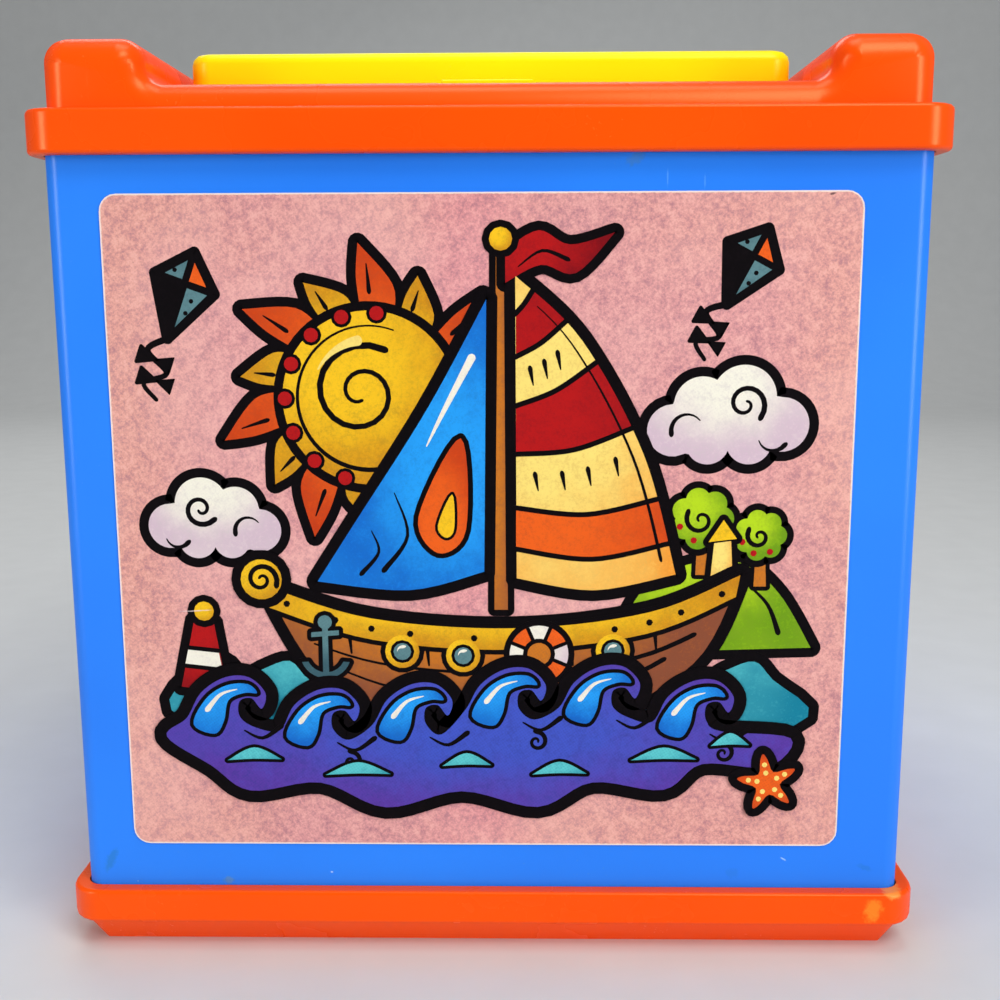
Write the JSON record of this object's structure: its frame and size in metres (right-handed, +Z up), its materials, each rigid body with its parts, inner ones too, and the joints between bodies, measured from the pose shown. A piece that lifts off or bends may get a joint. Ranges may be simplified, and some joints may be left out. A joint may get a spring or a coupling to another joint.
{
  "type": "jack-in-the-box",
  "caption": "Square plastic jack-in-the-box: blue walls with a printed front label, orange base and top frame, and a hinged yellow lid over a sprung cloth puppet.",
  "frame": {"origin": "on the floor under the middle of the box", "axes": "+Z up, -Y towards the side with the label, +X to the right of a viewer who faces the label"},
  "size_m": [0.158, 0.158, 0.165],
  "materials": {
    "blue_plastic": "glossy moulded plastic with rounded edges",
    "orange_plastic": "glossy moulded plastic with rounded edges",
    "yellow_plastic": "glossy moulded plastic",
    "white_plastic": "moulded plastic, smooth",
    "flesh_plastic": "soft matt vinyl with printed eyes and mouth",
    "red_plastic": "glossy moulded plastic",
    "label_paper": "printed paper with a satin varnish",
    "steel": "plain drawn steel",
    "brass": "polished",
    "red_cloth": "thin woven cloth, pleated",
    "blue_cloth": "thin woven cloth",
    "yellow_cloth": "thin woven cloth",
    "white_cloth": "thin woven cloth"
  },
  "bodies": {
    "box": {"base_tray": "orange_plastic", "box_shell": "blue_plastic", "top_frame": "orange_plastic", "front_label": "label_paper", "hinge_pin_left": "steel", "hinge_pin_right": "steel", "catch_spring": "steel", "catch_tray": "orange_plastic", "catch_screw_left": "steel", "catch_screw_right": "steel", "coil_spring": "steel", "cloth_sleeve": "red_cloth", "base_screw_1": "steel", "base_screw_2": "steel", "base_screw_3": "steel", "base_screw_4": "steel", "spring_clip_1": "steel", "clip_screw_1": "steel", "spring_clip_2": "steel", "clip_screw_2": "steel", "spring_clip_3": "steel", "clip_screw_3": "steel"},
    "lid": {"lid": "yellow_plastic"},
    "catch": {"catch_slide": "yellow_plastic"},
    "jack": {"spring_cup": "white_plastic", "torso": "blue_cloth", "ruff": "white_cloth", "head": "flesh_plastic", "nose": "red_plastic", "cap_left": "blue_cloth", "cap_right": "yellow_cloth", "bell_left": "brass", "bell_right": "brass", "arm_left": "blue_cloth", "arm_right": "blue_cloth", "hand_left": "white_cloth", "hand_right": "white_cloth"}
  },
  "joints": [
    {"name": "jack_pop", "type": "slide", "parent": "box", "child": "jack", "axis": [0, 0, 1], "range_m": [0, 0.11], "deforming": ["coil_spring", "cloth_sleeve"]},
    {"name": "lid_hinge", "type": "hinge", "parent": "box", "child": "lid", "pos_m": [0, 0.0596, 0.1603], "axis": [-1, 0, 0], "range_deg": [0, 135]},
    {"name": "catch_release", "type": "slide", "parent": "box", "child": "catch", "axis": [0, -1, 0], "range_m": [0, 0.003], "stiffness_N_per_m": 300, "deforming": ["catch_spring"]}
  ],
  "couplings": [
    {"joint": "lid_hinge", "follows": "jack_pop", "rad_per_m": 21.3}
  ]
}
